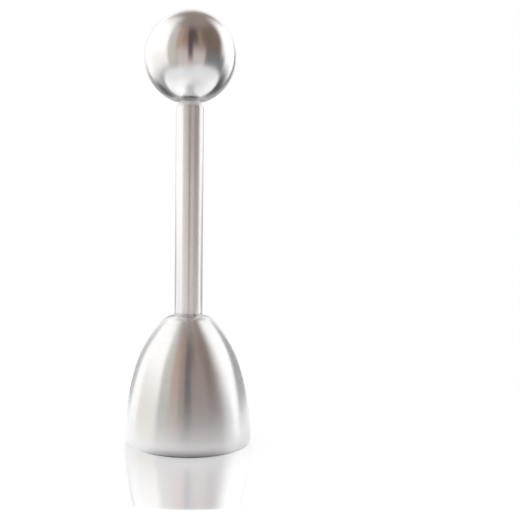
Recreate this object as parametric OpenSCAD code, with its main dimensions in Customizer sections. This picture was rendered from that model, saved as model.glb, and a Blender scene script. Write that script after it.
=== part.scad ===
// Spring-loaded egg topper. A ball on a rod lifts a small hammer against a spring inside a tube.
// When the ball is let go, the hammer strikes the plug under the tube, and the bell that hangs on
// that plug rings the eggshell with its rim. Sizes are in millimetres. The rim stands on z = 0,
// and every piece is centred on the Z axis. Threads are drawn as plain cylinders.

/* [Bell] */
// Widest diameter of the bell, a little above its rim
bell_d = 38.3; // [36:0.1:41]
// Height of the bell, from the rim to the flat that the tube stands on
bell_h = 37.6; // [34:0.1:41]
// Outer diameter of the rim that stands on the table
rim_d = 37.5; // [35.2:0.1:38]
// Height at which the bell is widest
belly_h = 3; // [2:0.1:5]
// Thickness of the bell's wall
bell_wall = 0.9; // [0.6:0.05:1.2]
// Radius of the flare just above the widest place
flare_r = 20; // [12:1:30]
// Angle of the flank at the end of the flare, from upright
flare_angle = 4; // [2:0.5:6]
// Angle of the flank where its long curve tightens, from upright
flank_angle = 17; // [14:0.5:20]
// Angle of the dome where it meets the shoulder, from upright
dome_angle = 45; // [42:0.5:50]
// Radius of the shoulder that turns into the flat crown
shoulder_r = 4.5; // [3:0.1:6]
// Width of the ground edge that stands on the table
edge_w = 0.45; // [0.3:0.05:0.5]
// Height of the bevel inside the ground edge
edge_h = 1.2; // [0.8:0.1:1.8]

/* [Guide tube] */
// Outer diameter of the tube
tube_d = 8.5; // [8:0.1:10]
// Bore of the tube
tube_bore = 7; // [6.8:0.05:7.3]
// Length of the tube, from its foot to the tip of its nose
tube_l = 64.6; // [58:0.1:76]
// Length of the rounded nose
nose_l = 2.9; // [2:0.1:4]
// Diameter of the flat tip of the nose
nose_tip_d = 5.2; // [4.4:0.1:6]
// Thickness of the nose, from its tip down to the end of the bore
nose_wall = 2.5; // [1.5:0.1:4]
// Chamfer round the foot of the tube
tube_chamfer = 0.12; // [0.05:0.01:0.3]

/* [Anvil plug] */
// Thickness of the flange that the tube stands on
flange_t = 0.6; // [0.4:0.1:1.5]
// Height of the plug inside the tube
plug_l = 8; // [7:0.1:12]
// Diameter of the spigot that centres the plug in the bell
spigot_d = 5.6; // [5.2:0.1:6.2]
// How far the spigot stays short of the inside of the bell
spigot_short = 0.1; // [0.05:0.05:0.3]
// Depth of the tapped hole, from the inside of the bell
tap_depth = 7.2; // [6.4:0.1:8]
// Depth of the groove round the plug that holds adhesive
glue_groove = 0.25; // [0.1:0.05:0.4]
// Width of that groove
glue_groove_w = 1.5; // [0.5:0.1:2]
// Chamfer round the anvil face
anvil_chamfer = 0.4; // [0.2:0.1:0.8]

/* [Bell screw and washers] */
// Thread diameter of the screw
screw_d = 4; // [3:0.1:4]
// Length of the screw under its head
screw_l = 8; // [7:0.1:8]
// Diameter of the screw's head
head_d = 7; // [6:0.1:8]
// Height of the screw's head
head_h = 2.4; // [2:0.1:3]
// Radius of the screw head's rounded edge
head_round = 1.1; // [0.5:0.1:1.8]
// Width of the cross recess
cross_w = 0.9; // [0.6:0.1:1.2]
// Length of each arm pair of the cross recess
cross_l = 3.8; // [3:0.1:4.4]
// Depth of the cross recess
cross_h = 1.3; // [0.8:0.1:1.6]
// Outer diameter of the plain washer
washer_d = 8; // [7.6:0.1:8.4]
// Thickness of the plain washer
washer_t = 0.5; // [0.3:0.1:1]
// Outer diameter of the split washer
lock_d = 7.2; // [6.6:0.1:7.5]
// Thickness of the split washer
lock_t = 0.9; // [0.6:0.1:1.2]
// Width of the split
lock_split = 0.7; // [0.4:0.1:1.2]

/* [Guide bush] */
// Height of the bush
bush_l = 6; // [4:0.1:9]
// Chamfer at both ends of the bush
bush_chamfer = 0.3; // [0.1:0.1:0.6]
// Thickness of the washer between the bush and the spring
bush_washer_t = 0.4; // [0.3:0.1:1]
// Outer diameter of that washer
bush_washer_d = 6.6; // [6.2:0.1:6.7]

/* [Return spring] */
// Diameter of the spring wire
wire_d = 0.65; // [0.5:0.05:0.7]
// Diameter at the middle of the wire
coil_d = 5.3; // [5.1:0.05:5.6]
// Number of turns
coil_turns = 12; // [8:1:14]

/* [Spring follower] */
// Outer diameter of the follower's flange
follower_d = 6.4; // [6.1:0.1:6.6]
// Thickness of the follower's flange
follower_t = 0.8; // [0.5:0.1:1.5]
// Outer diameter of the collar inside the spring
collar_d = 4.1; // [3.8:0.05:4.15]
// Height of that collar
collar_h = 2.5; // [1:0.1:4]

/* [Hammer and jam nut] */
// Diameter of the hammer
hammer_d = 6.6; // [6:0.1:6.7]
// Length of the hammer
hammer_l = 14; // [10:0.1:20]
// Diameter of the face that strikes the anvil
strike_d = 5.4; // [4:0.1:5.8]
// Height of the hammer's lower taper
strike_h = 1; // [0.5:0.1:2]
// Solid length of the hammer below the rod's hole
hammer_base = 3; // [2:0.1:6]
// Width across the two spanner flats
flats_w = 5.5; // [4.5:0.1:5.9]
// Height of the spanner flats
flats_h = 3; // [2:0.1:5]
// Width of the jam nut across its flats
nut_w = 5.5; // [5:0.1:5.7]
// Height of the jam nut
nut_h = 1.8; // [1.4:0.1:2.4]

/* [Pull rod] */
// Diameter of the rod
rod_d = 3; // [2.6:0.05:3.1]
// Chamfer at both ends of the rod
rod_chamfer = 0.3; // [0.1:0.05:0.6]
// How far the ball can be pulled up
stroke = 18; // [10:0.5:18]

/* [Ball] */
// Diameter of the ball
ball_d = 28; // [24:0.1:34]
// Thickness of the ball's wall
ball_wall = 1.2; // [1:0.1:1.6]
// Diameter of the flat under the ball
ball_flat_d = 11.2; // [9.6:0.1:12]
// Diameter of the boss that closes the hole in the flat
insert_d = 8; // [7:0.1:8.4]
// Height of the boss inside the ball
insert_h = 11; // [8:0.1:14]
// Diameter of the boss above its foot
insert_neck_d = 6.4; // [5.4:0.1:6.6]
// Height of the wide foot of the boss
insert_foot_h = 2; // [1.5:0.1:3]
// Solid height of the boss above the rod's hole
insert_cap = 1.5; // [1:0.1:3]
// Gap between the nose and the ball's flat when the hammer rests on the anvil
ball_gap = 0.4; // [0.2:0.05:1]

/* [Fits] */
// Gap all round between a fixed piece and its hole
fit_gap = 0.05; // [0.03:0.01:0.08]
// Gap all round between the rod and what it slides through
running_gap = 0.05; // [0.03:0.01:0.08]
// Gap all round between the rod and the loose holes in the nose and washers
loose_gap = 0.2; // [0.15:0.05:0.3]
// Gap between each end of the spring and its seat
seat_gap = 0.05; // [0.02:0.01:0.1]

/* [Hidden] */

$fn = 96;
// Pieces cut through a face by this much
over = 1;
// Each arc of an outline has one straight step in this many degrees, or fewer
arc_step = 3;
// Corners of the wire's section, and sections in each turn of the spring
wire_sides = 6;
turn_rings = 8;

// Radii
bell_r = bell_d / 2;
rim_r = rim_d / 2;
tube_r = tube_d / 2;
bore_r = tube_bore / 2;
tip_r = nose_tip_d / 2;
spigot_r = spigot_d / 2;
thread_hole_r = screw_d / 2 + fit_gap;
rod_r = rod_d / 2;
rod_fixed_r = rod_r + fit_gap;
rod_slide_r = rod_r + running_gap;
rod_loose_r = rod_r + loose_gap;
ball_r = ball_d / 2;
ball_flat_r = ball_flat_d / 2;

// Heights, from the table up
crown_in_z = bell_h - bell_wall;
tube_foot_z = bell_h + flange_t;
tube_tip_z = tube_foot_z + tube_l;
anvil_z = tube_foot_z + plug_l;
bore_end_z = tube_tip_z - nose_wall;
bush_foot_z = bore_end_z - bush_l;
bush_washer_z = bush_foot_z - bush_washer_t;
hammer_top_z = anvil_z + hammer_l;
follower_z = hammer_top_z + nut_h;
spring_foot_z = follower_z + follower_t + seat_gap;
spring_top_z = bush_washer_z - seat_gap;
ball_flat_z = tube_tip_z + ball_gap;
ball_z = ball_flat_z + sqrt(ball_r * ball_r - ball_flat_r * ball_flat_r);
rod_foot_z = anvil_z + hammer_base;
rod_top_z = ball_flat_z + insert_h - insert_cap;
washer_z = crown_in_z - washer_t;
lock_z = washer_z - lock_t;
spring_l = spring_top_z - spring_foot_z;

// Outline of the bell. Four arcs run up from the widest place, each tangent to the next: flare,
// flank, dome and shoulder. Their angles are given, and the radii of flank and dome follow from
// the bell's height and widths. A fifth arc runs down from the widest place to the rim.
tuck_w = bell_r - rim_r;
tuck_r = (belly_h * belly_h + tuck_w * tuck_w) / (2 * tuck_w);
tuck_angle = asin(belly_h / tuck_r);
flank_x = cos(flank_angle) - cos(flare_angle);
flank_z = sin(flank_angle) - sin(flare_angle);
dome_x = cos(dome_angle) - cos(flank_angle);
dome_z = sin(dome_angle) - sin(flank_angle);
left_x = tube_r - bell_r + flare_r * (1 - cos(flare_angle)) + shoulder_r * cos(dome_angle);
left_z = bell_h - belly_h - flare_r * sin(flare_angle) - shoulder_r * (1 - sin(dome_angle));
arcs_det = flank_x * dome_z - dome_x * flank_z;
flank_r = (left_x * dome_z - dome_x * left_z) / arcs_det;
dome_r = (flank_x * left_z - flank_z * left_x) / arcs_det;

function arc(centre, r, from, to) =
    let (steps = ceil(abs(to - from) / arc_step))
    [for (i = [0 : steps])
        let (a = from + (to - from) * i / steps)
        [centre[0] + r * cos(a), centre[1] + r * sin(a)]];

function along(centre, r, a) = [centre[0] + r * cos(a), centre[1] + r * sin(a)];

belly_centre = [bell_r - tuck_r, belly_h];
flare_centre = [bell_r - flare_r, belly_h];
flank_centre = along(flare_centre, flare_r - flank_r, flare_angle);
dome_centre = along(flank_centre, flank_r - dome_r, flank_angle);
shoulder_centre = along(dome_centre, dome_r - shoulder_r, dome_angle);

// The bell's outline from the rim to the crown, moved inwards by inset, from the height low_z up
function bell_outline(inset, low_z) =
    let (low_angle = asin((low_z - belly_h) / (tuck_r - inset)))
    concat(
        arc(belly_centre, tuck_r - inset, low_angle, 0),
        arc(flare_centre, flare_r - inset, flare_angle / 2, flare_angle),
        arc(flank_centre, flank_r - inset, flare_angle + arc_step, flank_angle),
        arc(dome_centre, dome_r - inset, flank_angle + arc_step, dome_angle),
        arc(shoulder_centre, shoulder_r - inset, dome_angle + arc_step, 90)
    );

function reversed(list) = [for (i = [len(list) - 1 : -1 : 0]) list[i]];

// The nose is an arc that leaves the tube's side upright and ends at the flat tip
nose_in = tube_r - tip_r;
nose_r = (nose_l * nose_l + nose_in * nose_in) / (2 * nose_in);
nose_centre = [tube_r - nose_r, tube_tip_z - nose_l];

// Turns a section given by points in the X-Z plane about the Z axis
module turned(points) {
    rotate_extrude()
        polygon(points);
}

module ring(outer_r, inner_r, z, h) {
    translate([0, 0, z])
        difference() {
            cylinder(h = h, r = outer_r);
            translate([0, 0, -over])
                cylinder(h = h + 2 * over, r = inner_r);
        }
}

module bell() {
    hole_r = spigot_r + fit_gap;
    color([0.78, 0.77, 0.76])
        turned(concat(
            bell_outline(0, 0),
            [[hole_r, bell_h], [hole_r, crown_in_z]],
            reversed(bell_outline(bell_wall, edge_h)),
            [[rim_r - edge_w, 0]]
        ));
}

module guide_tube() {
    color([0.8, 0.78, 0.77])
        turned(concat(
            [
                [bore_r, tube_foot_z],
                [tube_r - tube_chamfer, tube_foot_z],
                [tube_r, tube_foot_z + tube_chamfer]
            ],
            arc(nose_centre, nose_r, 0, asin(nose_l / nose_r)),
            [
                [rod_loose_r, tube_tip_z],
                [rod_loose_r, bore_end_z],
                [bore_r, bore_end_z]
            ]
        ));
}

module anvil_plug() {
    plug_r = bore_r - fit_gap;
    groove_r = plug_r - glue_groove;
    groove_z = tube_foot_z + (plug_l - glue_groove_w) / 2;
    spigot_z = crown_in_z + spigot_short;
    tap_z = crown_in_z + tap_depth;
    color([0.7, 0.7, 0.71])
        turned([
            [thread_hole_r, spigot_z],
            [spigot_r, spigot_z],
            [spigot_r, bell_h],
            [tube_r, bell_h],
            [tube_r, tube_foot_z],
            [plug_r, tube_foot_z],
            [plug_r, groove_z],
            [groove_r, groove_z],
            [groove_r, groove_z + glue_groove_w],
            [plug_r, groove_z + glue_groove_w],
            [plug_r, anvil_z - anvil_chamfer],
            [plug_r - anvil_chamfer, anvil_z],
            [0, anvil_z],
            [0, tap_z],
            [thread_hole_r, tap_z]
        ]);
}

module bell_washer() {
    color([0.66, 0.67, 0.69])
        ring(washer_d / 2, screw_d / 2 + loose_gap, washer_z, washer_t);
}

module lock_washer() {
    color([0.6, 0.61, 0.63])
        difference() {
            ring(lock_d / 2, screw_d / 2 + loose_gap, lock_z, lock_t);
            translate([0, -lock_split / 2, lock_z - over])
                cube([lock_d, lock_split, lock_t + 2 * over]);
        }
}

module bell_screw() {
    head_r = head_d / 2;
    round_centre = [head_r - head_round, lock_z - head_h + head_round];
    color([0.66, 0.67, 0.69])
        difference() {
            union() {
                translate([0, 0, lock_z])
                    cylinder(h = screw_l, d = screw_d);
                turned(concat(
                    [[0, lock_z - head_h]],
                    arc(round_centre, head_round, -90, 0),
                    [[head_r, lock_z], [0, lock_z]]
                ));
            }
            for (turn = [0, 90])
                rotate([0, 0, turn])
                    translate([-cross_l / 2, -cross_w / 2, lock_z - head_h - over])
                        cube([cross_l, cross_w, cross_h + over]);
        }
}

module guide_bush() {
    bush_r = bore_r - fit_gap;
    color([0.93, 0.93, 0.9])
        turned([
            [rod_slide_r, bush_foot_z],
            [bush_r - bush_chamfer, bush_foot_z],
            [bush_r, bush_foot_z + bush_chamfer],
            [bush_r, bore_end_z - bush_chamfer],
            [bush_r - bush_chamfer, bore_end_z],
            [rod_slide_r, bore_end_z]
        ]);
}

module bush_washer() {
    color([0.66, 0.67, 0.69])
        ring(bush_washer_d / 2, rod_loose_r, bush_washer_z, bush_washer_t);
}

// Middle of the wire, turn by turn, from the lower end
spring_rise = spring_l - wire_d;
function wire_middle(turn) = [
    coil_d / 2 * cos(360 * turn),
    coil_d / 2 * sin(360 * turn),
    spring_foot_z + wire_d / 2 + spring_rise * turn / coil_turns
];

module return_spring() {
    rings = coil_turns * turn_rings;
    // The section lies in the upright plane through the axis, widened so that the wire stays round
    lean = atan(spring_rise / coil_turns / (PI * coil_d));
    wire_r = wire_d / 2;
    points = [
        for (i = [0 : rings])
            let (middle = wire_middle(i / turn_rings), turn = 360 * i / turn_rings)
            for (k = [0 : wire_sides - 1])
                let (a = 360 * (k + 0.5) / wire_sides, side = wire_r * cos(a))
                [
                    middle[0] + side * cos(turn),
                    middle[1] + side * sin(turn),
                    middle[2] + wire_r * sin(a) / cos(lean)
                ]
    ];
    walls = [
        for (i = [0 : rings - 1])
            for (k = [0 : wire_sides - 1])
                let (a = i * wire_sides + k, b = i * wire_sides + (k + 1) % wire_sides)
                for (face = [[a, a + wire_sides, b], [b, a + wire_sides, b + wire_sides]])
                    face
    ];
    last = rings * wire_sides;
    ends = [
        for (k = [1 : wire_sides - 2])
            for (face = [[0, k, k + 1], [last, last + k + 1, last + k]])
                face
    ];
    color([0.6, 0.6, 0.6])
        polyhedron(points = points, faces = concat(walls, ends));
}

module spring_follower() {
    color([0.72, 0.72, 0.73])
        turned([
            [rod_slide_r, follower_z],
            [follower_d / 2, follower_z],
            [follower_d / 2, follower_z + follower_t],
            [collar_d / 2, follower_z + follower_t],
            [collar_d / 2, follower_z + follower_t + collar_h],
            [rod_slide_r, follower_z + follower_t + collar_h]
        ]);
}

module pull_rod() {
    color([0.83, 0.83, 0.84])
        turned([
            [0, rod_foot_z],
            [rod_r - rod_chamfer, rod_foot_z],
            [rod_r, rod_foot_z + rod_chamfer],
            [rod_r, rod_top_z - rod_chamfer],
            [rod_r - rod_chamfer, rod_top_z],
            [0, rod_top_z]
        ]);
}

module hammer() {
    hammer_r = hammer_d / 2;
    color([0.7, 0.7, 0.71])
        difference() {
            turned([
                [0, anvil_z],
                [strike_d / 2, anvil_z],
                [hammer_r, anvil_z + strike_h],
                [hammer_r, hammer_top_z],
                [rod_fixed_r, hammer_top_z],
                [rod_fixed_r, rod_foot_z],
                [0, rod_foot_z]
            ]);
            for (side = [-1, 1])
                translate([side * (flats_w / 2 + hammer_d / 2), 0, hammer_top_z + over / 2 - flats_h / 2])
                    cube([hammer_d, 2 * hammer_d, flats_h + over], center = true);
        }
}

module jam_nut() {
    color([0.66, 0.67, 0.69])
        translate([0, 0, hammer_top_z])
            difference() {
                cylinder(h = nut_h, d = nut_w / cos(30), $fn = 6);
                translate([0, 0, -over])
                    cylinder(h = nut_h + 2 * over, r = rod_fixed_r);
            }
}

module ball_insert() {
    foot_r = insert_d / 2;
    neck_r = insert_neck_d / 2;
    neck_z = ball_flat_z + insert_foot_h;
    color([0.74, 0.74, 0.75])
        turned([
            [rod_fixed_r, ball_flat_z],
            [foot_r, ball_flat_z],
            [foot_r, neck_z],
            [neck_r, neck_z],
            [neck_r, ball_flat_z + insert_h],
            [0, ball_flat_z + insert_h],
            [0, rod_top_z],
            [rod_fixed_r, rod_top_z]
        ]);
}

module ball_shell() {
    color([0.79, 0.78, 0.77])
        difference() {
            translate([0, 0, ball_z])
                sphere(r = ball_r);
            translate([0, 0, ball_z])
                sphere(r = ball_r - ball_wall);
            translate([0, 0, ball_flat_z - ball_d])
                cylinder(h = ball_d, r = ball_r);
            translate([0, 0, ball_flat_z - over])
                cylinder(h = ball_r / 2, r = insert_d / 2 + fit_gap);
        }
}

echo(overall_height = ball_z + ball_r, flank_radius = flank_r, dome_radius = dome_r);
echo(gap_between_turns = spring_rise / coil_turns - wire_d,
    gap_when_pulled = (spring_rise - stroke) / coil_turns - wire_d);

bell();
guide_tube();
anvil_plug();
bell_washer();
lock_washer();
bell_screw();
guide_bush();
bush_washer();
return_spring();
spring_follower();
pull_rod();
hammer();
jam_nut();
ball_insert();
ball_shell();
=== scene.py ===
# Egg topper on a glossy white board: a satin steel bell, a slim tube and a ball on a sprung rod.
# Lengths are in metres, angles in degrees, and the bell's rim stands on z = 0. In the functions
# that build a piece, s is the dictionary of its measures.
import math

import bmesh
import bpy
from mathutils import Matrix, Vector


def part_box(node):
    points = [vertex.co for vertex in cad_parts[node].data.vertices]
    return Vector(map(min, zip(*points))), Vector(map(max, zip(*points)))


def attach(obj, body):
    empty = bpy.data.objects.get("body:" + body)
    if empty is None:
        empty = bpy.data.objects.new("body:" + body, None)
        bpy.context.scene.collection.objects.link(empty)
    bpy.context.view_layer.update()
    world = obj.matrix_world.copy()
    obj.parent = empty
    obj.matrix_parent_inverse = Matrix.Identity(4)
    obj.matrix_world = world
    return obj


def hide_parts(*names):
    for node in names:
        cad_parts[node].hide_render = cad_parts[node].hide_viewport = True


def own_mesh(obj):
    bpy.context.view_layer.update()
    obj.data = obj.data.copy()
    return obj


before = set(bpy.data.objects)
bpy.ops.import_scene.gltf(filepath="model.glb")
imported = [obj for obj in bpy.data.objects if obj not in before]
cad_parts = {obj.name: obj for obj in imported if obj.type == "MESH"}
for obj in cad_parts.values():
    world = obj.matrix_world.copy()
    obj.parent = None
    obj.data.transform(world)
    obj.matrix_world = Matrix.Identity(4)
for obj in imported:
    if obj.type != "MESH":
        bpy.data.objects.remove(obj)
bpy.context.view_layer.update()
print("frame loaded:", len(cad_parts), "nodes")

mm = 0.001
pictureSize = 520  # pixels each way
scene = bpy.context.scene
scene.view_settings.view_transform = "Standard"


# camera, from the photograph's framing
cameraSetup = {
    "distance": 210.2 * mm,  # from the tube's axis
    "eyeHeight": 59.5 * mm,
    "lens": 47.77,  # on a 36 mm wide sensor
    "axisLeft": 71 / pictureSize,  # how far left of the picture's middle the axis stands
    "horizonUp": 17 / pictureSize,  # how far above the middle the horizon lies
    "roll": 0.45,
    "nearest": 10 * mm,
}


def addCamera():
    data = bpy.data.cameras.new("camera")
    data.lens = cameraSetup["lens"]
    data.shift_x = cameraSetup["axisLeft"]
    data.shift_y = -cameraSetup["horizonUp"]
    data.clip_start = cameraSetup["nearest"]
    camera = bpy.data.objects.new("camera", data)
    camera.location = (0, -cameraSetup["distance"], cameraSetup["eyeHeight"])
    camera.rotation_euler = (math.radians(90), -math.radians(cameraSetup["roll"]), 0)
    scene.collection.objects.link(camera)
    scene.camera = camera


# outlines: points (radius, height) that a lathe would follow, from the axis or round a wall
nearAxis = 1e-9  # a point this close to the axis lies on it


def arcPoints(centre, radius, start, end, step=1.5):
    count = max(1, math.ceil(abs(end - start) / step))
    angles = [math.radians(start + (end - start) * i / count) for i in range(count + 1)]
    return [(centre[0] + radius * math.cos(a), centre[1] + radius * math.sin(a)) for a in angles]


def roundedOutline(points, closed, steps=4):
    # a point with a third value has its corner rounded by that radius
    rounded = []
    for i, point in enumerate(points):
        here = Vector(point[:2])
        atEnd = not closed and i in (0, len(points) - 1)
        if len(point) < 3 or atEnd:
            rounded.append(here)
            continue
        toBefore = (Vector(points[i - 1][:2]) - here).normalized()
        toAfter = (Vector(points[(i + 1) % len(points)][:2]) - here).normalized()
        halfAngle = math.acos(max(-1, min(1, toBefore.dot(toAfter)))) / 2
        trim = point[2] / math.tan(halfAngle)
        centre = here + (toBefore + toAfter).normalized() * point[2] / math.sin(halfAngle)
        first = here + toBefore * trim - centre
        last = here + toAfter * trim - centre
        for step in range(steps + 1):
            spoke = first.lerp(last, step / steps)
            rounded.append(centre + spoke.normalized() * point[2])
    return rounded


def pieceFrom(work, name):
    mesh = bpy.data.meshes.new(name)
    work.to_mesh(mesh)
    work.free()
    piece = bpy.data.objects.new(name, mesh)
    scene.collection.objects.link(piece)
    return piece


def turnedPiece(name, points, closed=True, sides=180, sharpAbove=28):
    # turns an outline about the Z axis; "along" holds how far along the outline each point lies
    outline = roundedOutline(points, closed)
    work = bmesh.new()
    alongLayer = work.verts.layers.float.new("along")
    rings = []
    travelled = 0
    for i, point in enumerate(outline):
        travelled += (point - outline[i - 1]).length if i else 0
        count = 1 if point.x < nearAxis else sides
        ring = []
        for side in range(count):
            turn = 2 * math.pi * side / sides
            vert = work.verts.new((point.x * math.cos(turn), point.x * math.sin(turn), point.y))
            vert[alongLayer] = travelled
            ring.append(vert)
        rings.append(ring)
    pairs = len(rings) if closed else len(rings) - 1
    for i in range(pairs):
        lower, upper = rings[i], rings[(i + 1) % len(rings)]
        for side in range(sides):
            after = (side + 1) % sides
            corners = [lower[side % len(lower)], lower[after % len(lower)],
                       upper[after % len(upper)], upper[side % len(upper)]]
            unique = list(dict.fromkeys(corners))
            if len(unique) > 2:
                work.faces.new(unique).smooth = True
    bmesh.ops.recalc_face_normals(work, faces=work.faces)
    for edge in work.edges:
        if len(edge.link_faces) == 2 and edge.calc_face_angle(0) > math.radians(sharpAbove):
            edge.smooth = False
    return pieceFrom(work, name)


# shader building blocks

def socketValue(node, name, value):
    node.inputs[name].default_value = value


def mathNode(tree, operation, first, second=None, third=None):
    node = tree.nodes.new("ShaderNodeMath")
    node.operation = operation
    for slot, value in enumerate((first, second, third)):
        if value is None:
            continue
        if isinstance(value, (int, float)):
            node.inputs[slot].default_value = value
        else:
            tree.links.new(value, node.inputs[slot])
    return node.outputs[0]


def rangeNode(tree, value, fromLow, fromHigh, toLow, toHigh, smooth=False):
    node = tree.nodes.new("ShaderNodeMapRange")
    node.interpolation_type = "SMOOTHSTEP" if smooth else "LINEAR"
    limits = {"From Min": fromLow, "From Max": fromHigh, "To Min": toLow, "To Max": toHigh}
    for name, number in limits.items():
        socketValue(node, name, number)
    tree.links.new(value, node.inputs["Value"])
    return node.outputs["Result"]


def mixColours(tree, share, first, second):
    node = tree.nodes.new("ShaderNodeMix")
    node.data_type = "RGBA"
    for slot, value in (("Factor_Float", share), ("A_Color", first), ("B_Color", second)):
        target = next(socket for socket in node.inputs if socket.identifier == slot)
        if isinstance(value, (int, float)):
            target.default_value = value
        elif isinstance(value, tuple):
            target.default_value = (*value, 1)
        else:
            tree.links.new(value, target)
    return next(socket for socket in node.outputs if socket.identifier == "Result_Color")


def separated(tree, vector):
    node = tree.nodes.new("ShaderNodeSeparateXYZ")
    tree.links.new(vector, node.inputs[0])
    return node.outputs


def mixedOutput(tree, share, first, second, kind="Material"):
    choice = tree.nodes.new("ShaderNodeMixShader")
    for slot, value in enumerate((share, first, second)):
        tree.links.new(value, choice.inputs[slot])
    result = tree.nodes.new("ShaderNodeOutput" + kind)
    tree.links.new(choice.outputs[0], result.inputs["Surface"])


def newGroup(name, inputs, outputs):
    group = bpy.data.node_groups.new(name, "ShaderNodeTree")
    for label, default in inputs.items():
        socket = group.interface.new_socket(label, in_out="INPUT", socket_type="NodeSocketFloat")
        socket.default_value = default
    for label in outputs:
        group.interface.new_socket(label, in_out="OUTPUT", socket_type="NodeSocketFloat")
    return group, group.nodes.new("NodeGroupInput"), group.nodes.new("NodeGroupOutput")


def buildBrushLines():
    # fine rings left by a belt or a lathe tool: they run round the axis and follow the outline
    group, given, result = newGroup("brushLines", {"Rings per metre": 6000.0, "Sweep": 2.0},
                                    ("Rings", "Bands"))
    along = group.nodes.new("ShaderNodeAttribute")
    along.attribute_name = "along"
    place = group.nodes.new("ShaderNodeTexCoord")
    spot = separated(group, place.outputs["Object"])
    turn = mathNode(group, "ARCTAN2", spot["Y"], spot["X"])
    for label, share, detail in (("Rings", 1.0, 3.0), ("Bands", 0.09, 2.0)):  # share of the ring count
        vector = group.nodes.new("ShaderNodeCombineXYZ")
        wide = mathNode(group, "MULTIPLY", given.outputs["Sweep"], share)
        rings = mathNode(group, "MULTIPLY", given.outputs["Rings per metre"], share)
        group.links.new(mathNode(group, "MULTIPLY", mathNode(group, "COSINE", turn), wide), vector.inputs[0])
        group.links.new(mathNode(group, "MULTIPLY", mathNode(group, "SINE", turn), wide), vector.inputs[1])
        group.links.new(mathNode(group, "MULTIPLY", along.outputs["Fac"], rings), vector.inputs[2])
        noise = group.nodes.new("ShaderNodeTexNoise")
        noise.noise_dimensions = "3D"
        socketValue(noise, "Scale", 1.0)
        socketValue(noise, "Detail", detail)
        group.links.new(vector.outputs[0], noise.inputs["Vector"])
        group.links.new(noise.outputs["Fac"], result.inputs[label])
    return group


handlingLook = {
    "detail": 4.0,
    "distortion": 0.6,
    "smudge": (0.42, 0.7),  # noise at which smudges start, and at which they are full
    "scratch": (0.55, 0.62),  # the same for scratches
    "cellsPerPatch": 2.6,
    "hairline": 0.012,  # width of a scratch, as a share of its cell
}


def buildHandling():
    # soft patches where the steel has been wiped and held, and a few short hairline scratches
    group, given, result = newGroup("handling", {"Patches per metre": 70.0}, ("Smudges", "Scratches"))
    place = group.nodes.new("ShaderNodeTexCoord")
    patches = group.nodes.new("ShaderNodeTexNoise")
    socketValue(patches, "Detail", handlingLook["detail"])
    socketValue(patches, "Distortion", handlingLook["distortion"])
    group.links.new(place.outputs["Object"], patches.inputs["Vector"])
    group.links.new(given.outputs["Patches per metre"], patches.inputs["Scale"])
    smudges = rangeNode(group, patches.outputs["Fac"], *handlingLook["smudge"], 0, 1, True)
    group.links.new(smudges, result.inputs["Smudges"])
    cells = group.nodes.new("ShaderNodeTexVoronoi")
    cells.feature = "DISTANCE_TO_EDGE"
    socketValue(cells, "Randomness", 1.0)
    group.links.new(place.outputs["Object"], cells.inputs["Vector"])
    perPatch = handlingLook["cellsPerPatch"]
    cellScale = mathNode(group, "MULTIPLY", given.outputs["Patches per metre"], perPatch)
    group.links.new(cellScale, cells.inputs["Scale"])
    hairline = rangeNode(group, cells.outputs["Distance"], 0, handlingLook["hairline"], 1, 0)
    broken = rangeNode(group, patches.outputs["Fac"], *handlingLook["scratch"], 0, 1, True)
    group.links.new(mathNode(group, "MULTIPLY", hairline, broken), result.inputs["Scratches"])
    return group


def buildEdgeHighlight():
    # painted highlight: the metal's colour is made lighter on outer corners
    group, given, result = newGroup("edgeHighlight", {"Reach": 0.03}, ("Painted highlight",))
    flat = 0.5  # Pointiness of a flat place
    surface = group.nodes.new("ShaderNodeNewGeometry")
    above = mathNode(group, "SUBTRACT", surface.outputs["Pointiness"], flat)
    share = mathNode(group, "DIVIDE", above, given.outputs["Reach"])
    paintedShine = mathNode(group, "MINIMUM", mathNode(group, "MAXIMUM", share, 0), 1)
    group.links.new(paintedShine, result.inputs["Painted highlight"])
    return group


brushLines = buildBrushLines()
handling = buildHandling()
edgeHighlight = buildEdgeHighlight()


def placeGroup(tree, group, **values):
    node = tree.nodes.new("ShaderNodeGroup")
    node.node_tree = group
    for label, value in values.items():
        node.inputs[label.replace("_", " ")].default_value = value
    return node


def newMaterial(name):
    material = bpy.data.materials.new(name)
    material.use_nodes = True
    shader = material.node_tree.nodes["Principled BSDF"]
    return material, material.node_tree, shader


def emptyMaterial(name):
    material = bpy.data.materials.new(name)
    material.use_nodes = True
    material.node_tree.nodes.clear()
    return material, material.node_tree


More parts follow.
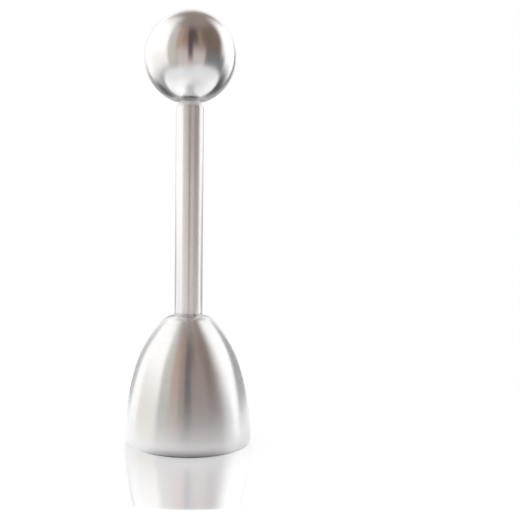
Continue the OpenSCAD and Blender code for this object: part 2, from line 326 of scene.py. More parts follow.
# steels: low and high are the roughness between which the rings change it, smudge is the roughness
# that a smudge adds, rings are per metre and depth is the strength of their relief
steels = {
    "bellSatin": {"colour": (0.79, 0.785, 0.785), "low": 0.237, "high": 0.243, "anisotropy": 0.92,
                  "rings": 9000.0, "depth": 0.004, "smudge": 0.006, "metallic": 0.92},
    "bellInside": {"colour": (0.70, 0.695, 0.69), "low": 0.36, "high": 0.46, "anisotropy": 0.6,
                   "rings": 1500.0, "depth": 0.16, "smudge": 0.08},
    "tubeSatin": {"colour": (0.84, 0.83, 0.83), "low": 0.30, "high": 0.31, "anisotropy": 1.0,
                  "rings": 9000.0, "depth": 0.004, "smudge": 0.006, "metallic": 0.85},
    "ballSatin": {"colour": (0.79, 0.785, 0.785), "low": 0.212, "high": 0.218, "anisotropy": 0.78,
                  "rings": 9000.0, "depth": 0.004, "smudge": 0.005},
    "turnedSteel": {"colour": (0.62, 0.62, 0.63), "low": 0.24, "high": 0.34, "anisotropy": 0.5,
                    "rings": 1900.0, "depth": 0.25, "smudge": 0.06},
    "polishedRod": {"colour": (0.78, 0.78, 0.79), "low": 0.06, "high": 0.10, "anisotropy": 0.2,
                    "rings": 5000.0, "depth": 0.04, "smudge": 0.02},
    "plainSteel": {"colour": (0.60, 0.61, 0.63), "low": 0.28, "high": 0.40, "anisotropy": 0.2,
                   "rings": 1800.0, "depth": 0.2, "smudge": 0.08},
    "springWire": {"colour": (0.50, 0.50, 0.50), "low": 0.28, "high": 0.38, "anisotropy": 0.3,
                   "rings": 2500.0, "depth": 0.15, "smudge": 0.05},
}


steelLook = {
    "brushTurn": 0.25,  # the brushing runs round, so highlights stretch upright
    "bands": 0.93,  # how dark the bands are, against the steel's colour
    "corners": 1.07,  # how bright the painted highlight on outer corners is
    "ringNoise": (0.3, 0.7),  # the part of the noise that makes rings
    "scratch": 0.02,  # roughness that a scratch adds
    "relief": 0.02 * mm,
}


def steelMaterial(name):
    finish = steels[name]
    material, tree, shader = newMaterial(name)
    brush = placeGroup(tree, brushLines, Rings_per_metre=finish["rings"])
    hands = placeGroup(tree, handling)
    shineNode = placeGroup(tree, edgeHighlight)
    socketValue(shader, "Metallic", finish.get("metallic", 1.0))
    socketValue(shader, "Anisotropic", finish["anisotropy"])
    socketValue(shader, "Anisotropic Rotation", steelLook["brushTurn"])
    darker = tuple(c * steelLook["bands"] for c in finish["colour"])
    brighter = tuple(min(1, c * steelLook["corners"]) for c in finish["colour"])
    banded = mixColours(tree, brush.outputs["Bands"], darker, finish["colour"])
    # painted highlight: outer corners take the lighter colour
    tree.links.new(mixColours(tree, shineNode.outputs["Painted highlight"], banded, brighter), shader.inputs["Base Color"])
    spread = rangeNode(tree, brush.outputs["Rings"], *steelLook["ringNoise"], finish["low"], finish["high"])
    smudged = mathNode(tree, "MULTIPLY_ADD", hands.outputs["Smudges"], finish["smudge"], spread)
    scratched = mathNode(tree, "MULTIPLY_ADD", hands.outputs["Scratches"], steelLook["scratch"], smudged)
    tree.links.new(scratched, shader.inputs["Roughness"])
    bump = tree.nodes.new("ShaderNodeBump")
    socketValue(bump, "Strength", finish["depth"])
    socketValue(bump, "Distance", steelLook["relief"])
    tree.links.new(brush.outputs["Rings"], bump.inputs["Height"])
    tree.links.new(bump.outputs["Normal"], shader.inputs["Normal"])
    tangent = tree.nodes.new("ShaderNodeTangent")
    tangent.direction_type = "RADIAL"
    tangent.axis = "Z"
    tree.links.new(tangent.outputs["Tangent"], shader.inputs["Tangent"])
    return material


acetalLook = {
    "grain": 900.0,
    "detail": 3.0,
    "colours": ((0.86, 0.86, 0.83), (0.90, 0.90, 0.87)),
    "grainNoise": (0.3, 0.7),
    "roughness": (0.38, 0.5),
    "depth": 0.1,
    "relief": 0.03 * mm,
}


def acetalMaterial():
    # white bush, moulded, with a slight grain
    material, tree, shader = newMaterial("bushAcetal")
    place = tree.nodes.new("ShaderNodeTexCoord")
    grain = tree.nodes.new("ShaderNodeTexNoise")
    socketValue(grain, "Scale", acetalLook["grain"])
    socketValue(grain, "Detail", acetalLook["detail"])
    tree.links.new(place.outputs["Object"], grain.inputs["Vector"])
    colour = mixColours(tree, grain.outputs["Fac"], *acetalLook["colours"])
    tree.links.new(colour, shader.inputs["Base Color"])
    rough = rangeNode(tree, grain.outputs["Fac"], *acetalLook["grainNoise"], *acetalLook["roughness"])
    tree.links.new(rough, shader.inputs["Roughness"])
    bump = tree.nodes.new("ShaderNodeBump")
    socketValue(bump, "Strength", acetalLook["depth"])
    socketValue(bump, "Distance", acetalLook["relief"])
    tree.links.new(grain.outputs["Fac"], bump.inputs["Height"])
    tree.links.new(bump.outputs["Normal"], shader.inputs["Normal"])
    return material


materials = {name: steelMaterial(name) for name in steels}
materials["bushAcetal"] = acetalMaterial()
print("materials built:", len(materials))


def dress(piece, materialName):
    piece.data.materials.clear()
    piece.data.materials.append(materials[materialName])


def standIn(piece, node, body, materialName):
    # the piece shows in place of a CAD node, rides where it rode and takes its finish
    dress(piece, materialName)
    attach(piece, body)
    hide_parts(node)


# bell: four arcs from the widest place to the crown, and one down to the rim
bellShape = {
    "rimRadius": 18.75 * mm,
    "bellyHeight": 3 * mm,
    "wall": 0.9 * mm,
    "flareRadius": 20 * mm,
    "flareAngle": 4,
    "flankAngle": 17,
    "domeAngle": 45,
    "shoulderRadius": 4.5 * mm,
    "edgeWidth": 0.45 * mm,
    "edgeHeight": 1.2 * mm,
    "holeRadius": 2.85 * mm,
    "crownRadius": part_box("guide_tube")[1].x,
    "radius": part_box("bell")[1].x,
    "height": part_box("bell")[1].z,
    "rimOut": 0.24 * mm,  # rounding of the edge that stands on the table, outside and inside
    "rimIn": 0.1 * mm,
    "skinFrom": 0.35 * mm,  # the outer arcs start here, above that rounding
    "arcStep": 0.75,
    "sides": 240,
    "underside": -0.5,  # a face whose normal points further down than this lies inside
}


def bellArcs():
    # (centre, radius, start, end) of each arc; the flank's and the dome's radii close the outline
    s = bellShape
    cos = {k: math.cos(math.radians(s[k])) for k in ("flareAngle", "flankAngle", "domeAngle")}
    sin = {k: math.sin(math.radians(s[k])) for k in ("flareAngle", "flankAngle", "domeAngle")}
    tuck = s["radius"] - s["rimRadius"]
    tuckRadius = (s["bellyHeight"] ** 2 + tuck ** 2) / (2 * tuck)
    flankX, flankZ = cos["flankAngle"] - cos["flareAngle"], sin["flankAngle"] - sin["flareAngle"]
    domeX, domeZ = cos["domeAngle"] - cos["flankAngle"], sin["domeAngle"] - sin["flankAngle"]
    leftX = (s["crownRadius"] - s["radius"] + s["flareRadius"] * (1 - cos["flareAngle"])
             + s["shoulderRadius"] * cos["domeAngle"])
    leftZ = (s["height"] - s["bellyHeight"] - s["flareRadius"] * sin["flareAngle"]
             - s["shoulderRadius"] * (1 - sin["domeAngle"]))
    spread = flankX * domeZ - domeX * flankZ
    radii = [s["flareRadius"], (leftX * domeZ - domeX * leftZ) / spread,
             (flankX * leftZ - flankZ * leftX) / spread, s["shoulderRadius"]]
    joins = [0, s["flareAngle"], s["flankAngle"], s["domeAngle"], 90]
    arcs = [((s["radius"] - tuckRadius, s["bellyHeight"]), tuckRadius, None, 0)]
    centre = (s["radius"] - radii[0], s["bellyHeight"])
    for i, radius in enumerate(radii):
        if i:
            move = radii[i - 1] - radius
            turn = math.radians(joins[i])
            centre = (centre[0] + move * math.cos(turn), centre[1] + move * math.sin(turn))
        arcs.append((centre, radius, joins[i], joins[i + 1]))
    return arcs


def bellSkin(inset, lowZ):
    points = []
    for centre, radius, start, end in bellArcs():
        if start is None:
            start = math.degrees(math.asin((lowZ - centre[1]) / (radius - inset)))
        run = arcPoints(centre, radius - inset, start, end, step=bellShape["arcStep"])
        points += run if not points else run[1:]
    return points


def buildBell():
    s = bellShape
    foot = bellSkin(0, 0)[0]
    outside = bellSkin(0, s["skinFrom"])
    inside = bellSkin(s["wall"], s["edgeHeight"])
    points = [(*foot, s["rimOut"]), *outside]
    points += [(s["holeRadius"], s["height"]), (s["holeRadius"], s["height"] - s["wall"])]
    points += reversed(inside[1:])
    points += [(*inside[0], s["rimIn"]), (s["rimRadius"] - s["edgeWidth"], 0, s["rimIn"])]
    bell = turnedPiece("bellCup", points, sides=s["sides"])
    standIn(bell, "bell", "topper", "bellSatin")
    bell.data.materials.append(materials["bellInside"])
    for face in bell.data.polygons:  # the hollow side is left rougher than the outside
        towardAxis = face.normal.x * face.center.x + face.normal.y * face.center.y < 0
        inward = towardAxis or face.normal.z < s["underside"]
        if inward and face.center.z > s["edgeHeight"]:
            face.material_index = 1


# tube: its upper end turned in to a rounded nose
tubeShape = {
    "radius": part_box("guide_tube")[1].x,
    "foot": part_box("guide_tube")[0].z,
    "tip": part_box("guide_tube")[1].z,
    "bore": 3.5 * mm,
    "noseLength": 2.9 * mm,
    "tipRadius": 2.6 * mm,
    "noseWall": 2.5 * mm,
    "holeRadius": 1.7 * mm,
    "chamfer": 0.12 * mm,
    "lip": 0.25 * mm,  # rounding of the nose's outer edge
    "holeEdge": 0.12 * mm,
}


def buildTube():
    s = tubeShape
    noseIn = s["radius"] - s["tipRadius"]
    noseRadius = (s["noseLength"] ** 2 + noseIn ** 2) / (2 * noseIn)
    noseTurn = math.degrees(math.asin(s["noseLength"] / noseRadius))
    noseCentre = (s["radius"] - noseRadius, s["tip"] - s["noseLength"])
    nose = arcPoints(noseCentre, noseRadius, 0, noseTurn)
    points = [(s["bore"], s["foot"]), (s["radius"] - s["chamfer"], s["foot"]),
              (s["radius"], s["foot"] + s["chamfer"]), *nose[:-1], (*nose[-1], s["lip"]),
              (s["holeRadius"], s["tip"], s["holeEdge"]), (s["holeRadius"], s["tip"] - s["noseWall"]),
              (s["bore"], s["tip"] - s["noseWall"])]
    tube = turnedPiece("tubeShaft", points)
    standIn(tube, "guide_tube", "topper", "tubeSatin")


# ball: a hollow sphere with a small flat that the boss fills
ballShape = {
    "radius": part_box("ball_shell")[1].x,
    "flat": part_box("ball_shell")[0].z,
    "top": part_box("ball_shell")[1].z,
    "wall": 1.2 * mm,
    "holeRadius": 4.05 * mm,
    "flatEdge": 0.1 * mm,
    "sides": 240,
    "liningSides": 96,
    "liningStep": 3,
}


def buildBall():
    s = ballShape
    centre = (0, s["top"] - s["radius"])
    inner = s["radius"] - s["wall"]
    flatTurn = math.degrees(math.asin((s["flat"] - centre[1]) / s["radius"]))
    holeTurn = -math.degrees(math.acos(s["holeRadius"] / inner))
    outside = arcPoints(centre, s["radius"], flatTurn, 90)
    inside = arcPoints(centre, inner, 90, holeTurn, step=s["liningStep"])
    points = [(s["holeRadius"], s["flat"]), (*outside[0], s["flatEdge"]), *outside[1:-1], (0, s["top"])]
    hollow = [(0, centre[1] + inner), *inside[1:], (s["holeRadius"], s["flat"])]
    ball = turnedPiece("ballSphere", points, closed=False, sides=s["sides"])
    lining = turnedPiece("ballLining", hollow, closed=False, sides=s["liningSides"])
    dress(lining, "plainSteel")
    standIn(ball, "ball_shell", "striker", "ballSatin")
    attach(lining, "striker")


# spring: round wire with a closed, ground turn at each end
springShape = {
    "wire": 0.65 * mm,
    "coil": 5.3 * mm,  # diameter at the middle of the wire
    "turns": 12,
    "closedTurns": 1,  # at each end
    "closedPitch": 1.02,  # what a closed turn climbs, in wires
    "low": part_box("return_spring")[0].z,
    "high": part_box("return_spring")[1].z,
    "pulledLength": 13 * mm,
    "ringsPerTurn": 40,
    "wireSides": 12,
}


def springHeight(turn):
    # height of the wire's middle at that turn; the open turns share what the closed ones leave
    s = springShape
    wireStep = s["wire"] * s["closedPitch"]
    ends = s["closedTurns"] * wireStep
    openTurns = s["turns"] - 2 * s["closedTurns"]
    total = s["high"] - s["low"] - s["wire"]
    middle = (total - 2 * ends) / openTurns
    if turn <= s["closedTurns"]:
        climbed = turn * wireStep
    elif turn >= s["turns"] - s["closedTurns"]:
        climbed = total - (s["turns"] - turn) * wireStep
    else:
        climbed = ends + (turn - s["closedTurns"]) * middle
    return s["low"] + s["wire"] / 2 + climbed


def buildSpring():
    s = springShape
    work = bmesh.new()
    alongLayer = work.verts.layers.float.new("along")
    rings = []
    count = s["turns"] * s["ringsPerTurn"]
    for i in range(count + 1):
        turn = i / s["ringsPerTurn"]
        angle = 2 * math.pi * turn
        out = Vector((math.cos(angle), math.sin(angle), 0))
        middle = out * s["coil"] / 2 + Vector((0, 0, springHeight(turn)))
        ring = []
        for side in range(s["wireSides"]):
            roundWire = 2 * math.pi * side / s["wireSides"]
            point = middle + out * (s["wire"] / 2 * math.cos(roundWire))
            height = point.z + s["wire"] / 2 * math.sin(roundWire)
            point.z = min(max(height, s["low"]), s["high"])  # the ends are ground flat
            vert = work.verts.new(point)
            vert[alongLayer] = roundWire * s["wire"] / 2
            ring.append(vert)
        rings.append(ring)
    for lower, upper in zip(rings, rings[1:]):
        for side in range(s["wireSides"]):
            after = (side + 1) % s["wireSides"]
            work.faces.new((lower[side], lower[after], upper[after], upper[side])).smooth = True
    work.faces.new(rings[0])
    work.faces.new(rings[-1])
    bmesh.ops.recalc_face_normals(work, faces=work.faces)
    spring = pieceFrom(work, "springCoil")
    standIn(spring, "return_spring", "topper", "springWire")
    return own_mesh(spring)


# CAD nodes whose shape is right as it is
plainNodes = {
    "anvil_plug": "turnedSteel",
    "bell_washer": "plainSteel",
    "lock_washer": "plainSteel",
    "bell_screw": "plainSteel",
    "guide_bush": "bushAcetal",
    "bush_washer": "plainSteel",
    "spring_follower": "turnedSteel",
    "pull_rod": "polishedRod",
    "hammer": "turnedSteel",
    "jam_nut": "plainSteel",
    "ball_insert": "turnedSteel",
}


def dressPlainNodes():
    for node, materialName in plainNodes.items():
        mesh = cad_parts[node].data
        along = mesh.attributes.new("along", "FLOAT", "POINT")
        along.data.foreach_set("value", [v.co.z + v.co.xy.length for v in mesh.vertices])
        dress(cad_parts[node], materialName)


# What the steel mirrors. A compass angle of 0 points from the object to the camera, and plus is to
# the camera's right. half is how far a panel reaches to each side of its middle, low and high are
# elevations, and arch is how far the top drops at the sides. soft is the width of the fade at the
# upright edges and fade at the level ones, unless fadeTop is given. Later panels lie over earlier ones.
room = (0.34, 0.285, 0.25)
panels = {
    "underBoard": {"middle": 0, "half": 200, "low": -120, "high": -16, "soft": 8, "fade": 14,
                   "colour": (0.27, 0.27, 0.27)},
    "underLeft": {"middle": -84, "half": 34, "low": -120, "high": -14, "soft": 24, "fade": 14,
                  "colour": (0.42, 0.42, 0.42)},
    "backLow": {"middle": 180, "half": 62, "low": -120, "high": 4, "soft": 20, "fade": 30,
                "colour": (0.45, 0.45, 0.45)},
    "backWall": {"middle": -168, "half": 62, "low": 5, "high": 55, "soft": 14, "fade": 22,
                 "fadeTop": 16, "arch": 30, "colour": (1.26, 1.26, 1.26)},
    "brownRoom": {"middle": 42, "half": 48, "low": -18, "high": 59, "soft": 10, "fade": 12,
                  "colour": (0.215, 0.158, 0.126)},
    "leftPanel": {"middle": -99, "half": 42, "low": -19, "high": 74, "soft": 6, "fade": 30,
                  "fadeTop": 45, "arch": 18, "colour": (1.36, 1.35, 1.33)},
    "leftPanelFoot": {"middle": -82, "half": 30, "low": -20, "high": 8, "soft": 34, "fade": 26,
                      "colour": (1.15, 1.13, 1.09)},
    "rightPanel": {"middle": 118, "half": 33, "low": -11, "high": 59, "soft": 28, "fade": 22,
                   "fadeTop": 28, "arch": 34, "colour": (1.36, 1.36, 1.36)},
    "rightGap": {"middle": 146, "half": 7, "low": -46, "high": 20, "soft": 10, "fade": 26,
                 "colour": (0.26, 0.26, 0.27)},
    "rightCorner": {"middle": 132, "half": 19, "low": -57, "high": -19, "soft": 14, "fade": 14,
                    "colour": (0.10, 0.10, 0.105)},
    "leftGap": {"middle": -145, "half": 15, "low": -38, "high": -15, "soft": 12, "fade": 22,
                "colour": (0.09, 0.09, 0.09)},
    "backStrip": {"middle": 181, "half": 16, "low": -26, "high": 28, "soft": 12, "fade": 14,
                  "colour": (0.52, 0.52, 0.53)},
    "greyCurtain": {"middle": -46, "half": 13, "low": -26, "high": 62, "soft": 4, "fade": 18,
                    "colour": (0.65, 0.635, 0.58)},
    "warmDoor": {"middle": -27, "half": 9, "low": -26, "high": 56, "soft": 6, "fade": 16,
                 "colour": (0.52, 0.355, 0.275)},
    "warmShade": {"middle": -13, "half": 6, "low": -26, "high": 50, "soft": 6, "fade": 18,
                  "colour": (0.39, 0.245, 0.20)},
    "paleFloor": {"middle": 1, "half": 36, "low": -36, "high": 7, "soft": 8, "fade": 26,
                  "colour": (0.70, 0.61, 0.58)},
    "darkFigure": {"middle": 0, "half": 6, "low": -20, "high": 58, "soft": 5, "fade": 30,
                   "colour": (0.085, 0.062, 0.066)},
    "darkShoulder": {"middle": 10, "half": 7, "low": 24, "high": 56, "soft": 6, "fade": 14,
                     "colour": (0.095, 0.066, 0.062)},
    "paleStreak": {"middle": 26, "half": 4, "low": 0, "high": 50, "soft": 4, "fade": 20,
                   "colour": (0.40, 0.29, 0.24)},
    "blueShade": {"middle": 69, "half": 26, "low": -30, "high": 1, "soft": 8, "fade": 14,
                  "colour": (0.20, 0.205, 0.21)},
}

# how the steel looks in the board's mirror: it sees the panels lower, and a plain board below them
mirroredLook = {
    "depth": 1.5,  # a ray with a Glossy Depth above this has met two glossy surfaces, board then steel
    "tilt": 27,
    "board": (-9, 7),  # elevations between which the plain board gives way to the panels
    "front": (0.69, 0.68, 0.69),  # the plain board's colour
    "sides": (1.04, 1.04, 1.05),
    "aside": (60, 115),  # compass angles, left and right, between which front turns into sides
}


def panelMask(tree, compass, elevation, panel):
    edge, fade = math.radians(panel["soft"]) / 2, math.radians(panel["fade"]) / 2
    fadeTop = math.radians(panel.get("fadeTop", panel["fade"])) / 2
    offset = mathNode(tree, "SUBTRACT", compass, math.radians(panel["middle"]))
    away = mathNode(tree, "ABSOLUTE", mathNode(tree, "WRAP", offset, math.pi, -math.pi))
    half = math.radians(panel["half"])
    across = rangeNode(tree, away, half - edge, half + edge, 1, 0, True)
    sideways = mathNode(tree, "POWER", mathNode(tree, "DIVIDE", away, half), 2)
    raised = mathNode(tree, "MULTIPLY_ADD", sideways, math.radians(panel.get("arch", 0)), elevation)
    low, high = math.radians(panel["low"]), math.radians(panel["high"])
    above = rangeNode(tree, elevation, low - fade, low + fade, 0, 1, True)
    below = rangeNode(tree, raised, high - fadeTop, high + fadeTop, 1, 0, True)
    return mathNode(tree, "MULTIPLY", across, mathNode(tree, "MULTIPLY", above, below))


def buildStudio():
    world = bpy.data.worlds.new("studio")
    scene.world = world
    world.use_nodes = True
    tree = world.node_tree
    tree.nodes.clear()
    place = tree.nodes.new("ShaderNodeTexCoord")
    toward = separated(tree, place.outputs["Generated"])
    compass = mathNode(tree, "ARCTAN2", toward["X"], mathNode(tree, "MULTIPLY", toward["Y"], -1))
    path = tree.nodes.new("ShaderNodeLightPath")
    mirrored = mathNode(tree, "GREATER_THAN", path.outputs["Glossy Depth"], mirroredLook["depth"])
    elevation = mathNode(tree, "MULTIPLY_ADD", mirrored, -math.radians(mirroredLook["tilt"]),
                         mathNode(tree, "ARCSINE", toward["Z"]))
    colour = room
    for panel in panels.values():
        colour = mixColours(tree, panelMask(tree, compass, elevation, panel), colour, panel["colour"])
    board = rangeNode(tree, elevation, *map(math.radians, mirroredLook["board"]), 1, 0, True)
    away = mathNode(tree, "ABSOLUTE", compass)
    aside = rangeNode(tree, away, *map(math.radians, mirroredLook["aside"]), 0, 1, True)
    pale = mixColours(tree, aside, mirroredLook["front"], mirroredLook["sides"])
    colour = mixColours(tree, mathNode(tree, "MULTIPLY", mirrored, board), colour, pale)
    lit = tree.nodes.new("ShaderNodeBackground")
    tree.links.new(colour, lit.inputs["Color"])
    # the camera, the board's sharp mirror and diffuse surfaces see plain white all round
    white = tree.nodes.new("ShaderNodeBackground")
    socketValue(white, "Color", (1, 1, 1, 1))
    plain = mathNode(tree, "MAXIMUM", path.outputs["Is Camera Ray"], path.outputs["Is Singular Ray"])
    plain = mathNode(tree, "MAXIMUM", plain, path.outputs["Is Diffuse Ray"])
    mixedOutput(tree, plain, lit.outputs[0], white.outputs[0], "World")


# Cards close to the object, which only blurred reflections see. Steel mirrors a card up to about the
# two heights of its reach, between which it fades out, and only over the height above, where one is
# given. from and to are compass angles, and lean moves from by degrees for each mm away from the
# pivot's height. height, pivot and fade, at the card's top, are in mm. share is how much of a card
# shows, and one that isn't mirrored leaves out the steel that the board's mirror shows.
cards = {
    "whiteCard": {"from": 46, "to": 156, "soft": 38, "lean": 0.11, "pivot": 75, "height": 420,
                  "fade": 200, "colour": (1.36, 1.36, 1.36)},
    "backCard": {"from": 148, "to": 206, "soft": 10, "height": 60, "fade": 40,
                 "colour": (1.25, 1.25, 1.27)},
    "darkCard": {"from": 92, "to": 150, "soft": 12, "lean": 0.3, "height": 115, "fade": 60,
                 "mirrored": False, "colour": (0.43, 0.435, 0.45)},
    "greyCard": {"from": -152, "to": -120, "soft": 12, "height": 115, "fade": 60,
                 "mirrored": False, "colour": (0.64, 0.64, 0.65)},
    "tubeLeftCard": {"from": -182, "to": -116, "soft": 14, "height": 115, "fade": 60,
                     "above": 37 * mm, "reach": (50 * mm, 88 * mm), "colour": (0.50, 0.50, 0.51)},
    "tubeFootCard": {"from": -118, "to": -60, "soft": 8, "height": 90, "fade": 50,
                     "above": 37 * mm, "reach": (46 * mm, 74 * mm), "colour": (0.89, 0.89, 0.90)},
    "tubeFrontCard": {"from": -18, "to": 16, "soft": 8, "height": 90, "fade": 50, "share": 0.12,
                      "above": 37 * mm, "reach": (46 * mm, 74 * mm), "colour": (1.0, 0.94, 0.94)},
    "tubeRightCard": {"from": 104, "to": 152, "soft": 14, "height": 115, "fade": 60,
                      "above": 37 * mm, "reach": (68 * mm, 98 * mm), "colour": (0.50, 0.50, 0.51)},
    "crownCard": {"from": 157, "to": 190, "soft": 8, "height": 230, "fade": 60,
                  "above": 30 * mm, "colour": (0.76, 0.76, 0.77)},
    "footCard": {"from": -100, "to": -51, "soft": 6, "height": 60, "fade": 50,
                 "colour": (0.92, 0.88, 0.79)},
    "frontCard": {"from": -22, "to": 42, "soft": 12, "height": 120, "fade": 70, "mirrored": False,
                  "colour": (0.335, 0.26, 0.235)},
    "figureCard": {"from": -9, "to": 8, "soft": 6, "height": 110, "fade": 50, "mirrored": False,
                   "colour": (0.08, 0.072, 0.075)},
    "lowCard": {"from": -60, "to": 86, "soft": 8, "height": 40, "fade": 34, "share": 0.42,
                "mirrored": False, "colour": (0.12, 0.12, 0.12)},
    "tubeTopCard": {"from": -26, "to": 66, "soft": 10, "height": 190, "fade": 30, "share": 0.3,
                    "above": 89 * mm, "reach": (101 * mm, 104 * mm), "colour": (0.09, 0.07, 0.06)},
}
cardSetup = {
    "distance": 110 * mm,  # of the first card from the axis
    "apart": 1 * mm,  # each later card stands this far in front of the one before
    "reach": (33 * mm, 41 * mm),  # for a card without its own
    "fadeIn": 3 * mm,  # height over which a card shows itself above its lower limit
    "rowStep": 5,  # mm
    "columnStep": 2,  # degrees
    "square": 1.0001,  # a little over 1, so that an upright ray's slope stays finite
}


def cardMaterial(name, card):
    material, tree = emptyMaterial(name)
    glow = tree.nodes.new("ShaderNodeEmission")
    socketValue(glow, "Color", (*card["colour"], 1))
    clear = tree.nodes.new("ShaderNodeBsdfTransparent")
    cover = tree.nodes.new("ShaderNodeAttribute")
    cover.attribute_name = "cover"
    # At what height did the reflected ray that meets the card pass the object's axis? Incoming points
    # back along the ray, so that is the height here plus Incoming's slope times the distance.
    surface = tree.nodes.new("ShaderNodeNewGeometry")
    here = separated(tree, surface.outputs["Position"])
    back = separated(tree, surface.outputs["Incoming"])
    upward = mathNode(tree, "MULTIPLY", back["Z"], back["Z"])
    level = mathNode(tree, "SQRT", mathNode(tree, "SUBTRACT", cardSetup["square"], upward))
    slope = mathNode(tree, "DIVIDE", back["Z"], level)
    start = mathNode(tree, "MULTIPLY_ADD", slope, cardSetup["distance"], here["Z"])
    reached = rangeNode(tree, start, *card.get("reach", cardSetup["reach"]), 1, 0, True)
    if "above" in card:
        risen = rangeNode(tree, start, card["above"], card["above"] + cardSetup["fadeIn"], 0, 1, True)
        reached = mathNode(tree, "MULTIPLY", reached, risen)
    path = tree.nodes.new("ShaderNodeLightPath")
    blurred = mathNode(tree, "SUBTRACT", path.outputs["Is Glossy Ray"], path.outputs["Is Singular Ray"])
    share = mathNode(tree, "MULTIPLY", mathNode(tree, "MULTIPLY", cover.outputs["Fac"], reached), blurred)
    if not card.get("mirrored", True):
        straight = mathNode(tree, "LESS_THAN", path.outputs["Glossy Depth"], mirroredLook["depth"])
        share = mathNode(tree, "MULTIPLY", share, straight)
    mixedOutput(tree, share, clear.outputs[0], glow.outputs[0])
    return material


def easeIn(share):
    share = min(1, max(0, share))
    return share * share * (3 - 2 * share)


def buildCards():
    for order, (name, card) in enumerate(cards.items()):
        work = bmesh.new()
        coverLayer = work.verts.layers.float.new("cover")
        distance = cardSetup["distance"] - order * cardSetup["apart"]
        rows = []
        for height in range(0, card["height"] + 1, cardSetup["rowStep"]):
            first = card["from"] + card.get("lean", 0) * abs(height - card.get("pivot", 0))
            count = (card["to"] - card["from"]) // cardSetup["columnStep"]
            row = []
            for i in range(count + 1):
                degrees = first + (card["to"] - first) * i / count
                turn = math.radians(degrees)
                vert = work.verts.new((math.sin(turn) * distance, -math.cos(turn) * distance, height * mm))
                inside = min(degrees - first, card["to"] - degrees) / card["soft"]
                cover = easeIn(inside) * easeIn((card["height"] - height) / card["fade"])
                vert[coverLayer] = cover * card.get("share", 1)
                row.append(vert)
            rows.append(row)
        for lower, upper in zip(rows, rows[1:]):
            for i in range(len(lower) - 1):
                work.faces.new((lower[i], lower[i + 1], upper[i + 1], upper[i]))
        piece = pieceFrom(work, name)
        piece.visible_camera = False
        piece.data.materials.append(cardMaterial(name, card))


# white board under the object: the camera and the steel see it in their own ways
boardShape = {
    "middle": (24 * mm, -45 * mm),
    "half": (194 * mm, 134 * mm),
    "drop": 0.02 * mm,  # just below the rim
    "arcStep": 4,
}

boardLook = {
    "white": 0.8,
    "tint": (0.96, 0.98, 1.03),
    "glow": 0.3,  # to the camera
    "glowAround": (0.22, 0.4),  # painted light that only the steel sees: glow in front of the object and behind it
    "glowAside": (0.22, -0.1),  # painted light and painted shade that close ground adds on the left and on the right
    "aroundWithin": 25 * mm,  # of the axis, front turns into behind
    "asideWithin": 22 * mm,  # of the axis, left turns into right
    "closeGround": (45 * mm, 80 * mm),  # where close ground ends
    "under": 0.22,  # painted shade: the glow that the steel misses next to the rim, in front
    "underGround": (19 * mm, 33 * mm),  # where that ends
    "ring": 0.85,  # painted shadow at the contact, which ends at ringTo
    "wider": 0.6,  # painted shadow that only the steel sees, which ends at widerTo
    "shadeFrom": 18.6 * mm,
    "ringTo": 19.6 * mm,
    "widerTo": 23 * mm,
    "shadeFront": (0.66, 1.04),  # both painted shadows are darkest in front, where -y / radius is 1
    "mirror": 0.92,  # share of the mirror image at a grazing look
    "fadeFrom": 55.2 * mm,  # the mirror image ends at this distance from the axis
    "fadeTo": 57.4 * mm,
    "roughness": 0.12,  # of the gloss that the steel sees
    "glossRise": 5,
    "glossGrazing": 0.95,
    "glossStraight": 0.04,
}


def mirrorShare(tree, path, radius):
    # the camera meets a sharp mirror, the steel meets ordinary gloss that rises at a grazing look
    look = boardLook
    facing = tree.nodes.new("ShaderNodeLayerWeight")
    socketValue(facing, "Blend", 0.5)
    thinned = rangeNode(tree, radius, look["fadeFrom"], look["fadeTo"], look["mirror"], 0, True)
    sharp = mathNode(tree, "MULTIPLY", facing.outputs["Facing"], thinned)
    rise = mathNode(tree, "POWER", facing.outputs["Facing"], look["glossRise"])
    gloss = mathNode(tree, "MULTIPLY_ADD", rise, look["glossGrazing"], look["glossStraight"])
    difference = mathNode(tree, "SUBTRACT", sharp, gloss)
    return mathNode(tree, "MULTIPLY_ADD", difference, path.outputs["Is Camera Ray"], gloss)


def paintedContactShadow(tree, path, radius, front):
    # painted shadow: a dark ring on the board where the rim stands on it, darkest in front
    look = boardLook
    ring = rangeNode(tree, radius, look["shadeFrom"], look["ringTo"], look["ring"], 0, True)
    wider = rangeNode(tree, radius, look["shadeFrom"], look["widerTo"], look["wider"], 0, True)
    wider = mathNode(tree, "MULTIPLY", wider, path.outputs["Is Glossy Ray"])
    return mathNode(tree, "MULTIPLY", front, mathNode(tree, "MAXIMUM", ring, wider))


# the board's glow: even to the camera, but to the steel it is painted light and painted shade that change
# from place to place
def boardGlow(tree, path, radius, front, spot):
    look = boardLook
    around = rangeNode(tree, spot["Y"], -look["aroundWithin"], look["aroundWithin"], *look["glowAround"])
    aside = rangeNode(tree, spot["X"], -look["asideWithin"], look["asideWithin"], *look["glowAside"])
    close = rangeNode(tree, radius, *look["closeGround"], 1, 0, True)
    around = mathNode(tree, "MULTIPLY_ADD", aside, close, around)
    # painted shade next to the rim, in front, that only the steel sees
    under = rangeNode(tree, radius, *look["underGround"], look["under"], 0, True)
    around = mathNode(tree, "SUBTRACT", around, mathNode(tree, "MULTIPLY", under, front))
    around = mathNode(tree, "MULTIPLY", around, path.outputs["Is Glossy Ray"])
    return mathNode(tree, "MULTIPLY_ADD", path.outputs["Is Camera Ray"], look["glow"], around)


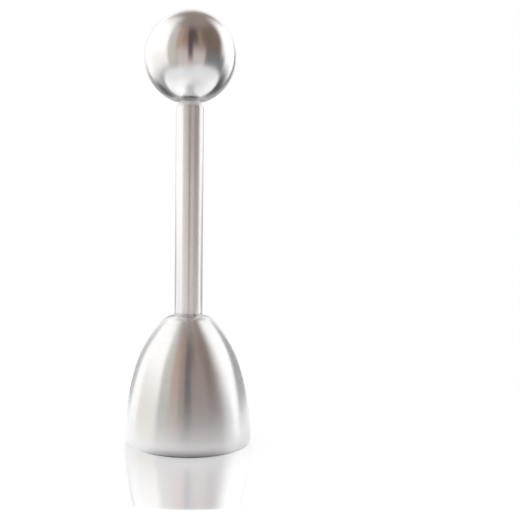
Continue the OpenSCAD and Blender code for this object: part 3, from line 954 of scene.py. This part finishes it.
def glossyWhite():
    look = boardLook
    material, tree = emptyMaterial("glossyWhite")
    path = tree.nodes.new("ShaderNodeLightPath")
    place = tree.nodes.new("ShaderNodeTexCoord")
    spot = separated(tree, place.outputs["Object"])
    measure = tree.nodes.new("ShaderNodeVectorMath")
    measure.operation = "LENGTH"
    tree.links.new(place.outputs["Object"], measure.inputs[0])
    radius = measure.outputs["Value"]
    forward = mathNode(tree, "DIVIDE", mathNode(tree, "MULTIPLY", spot["Y"], -1), radius)
    front = rangeNode(tree, forward, *look["shadeFront"], 0, 1, True)
    # the painted shadow darkens both the board's glow and its white
    shade = paintedContactShadow(tree, path, radius, front)
    unshaded = mathNode(tree, "SUBTRACT", 1, shade)
    glow = tree.nodes.new("ShaderNodeEmission")
    socketValue(glow, "Color", (*look["tint"], 1))
    strength = mathNode(tree, "MULTIPLY", boardGlow(tree, path, radius, front, spot), unshaded)
    tree.links.new(strength, glow.inputs["Strength"])
    diffuse = tree.nodes.new("ShaderNodeBsdfDiffuse")
    tree.links.new(mixColours(tree, shade, (look["white"],) * 3, (0.0, 0.0, 0.0)), diffuse.inputs["Color"])
    pale = tree.nodes.new("ShaderNodeAddShader")
    tree.links.new(diffuse.outputs[0], pale.inputs[0])
    tree.links.new(glow.outputs[0], pale.inputs[1])
    mirror = tree.nodes.new("ShaderNodeBsdfAnisotropic")
    socketValue(mirror, "Color", (1, 1, 1, 1))
    rough = rangeNode(tree, path.outputs["Is Camera Ray"], 0, 1, look["roughness"], 0)
    tree.links.new(rough, mirror.inputs["Roughness"])
    mixedOutput(tree, mirrorShare(tree, path, radius), pale.outputs[0], mirror.outputs[0])
    return material


def buildBoard():
    s = boardShape
    work = bmesh.new()
    outline = [(s["middle"][0] + s["half"][0] * x, s["middle"][1] + s["half"][1] * y)
               for x, y in arcPoints((0, 0), 1, 0, 360 - s["arcStep"], step=s["arcStep"])]
    work.faces.new([work.verts.new((x, y, -s["drop"])) for x, y in outline])
    board = pieceFrom(work, "whiteBoard")
    board.data.materials.append(glossyWhite())


addCamera()
buildBell()
buildTube()
buildBall()
buildSpring()
dressPlainNodes()
buildStudio()
buildCards()
buildBoard()
print("studio built:", len(panels), "panels,", len(cards), "cards and the board")
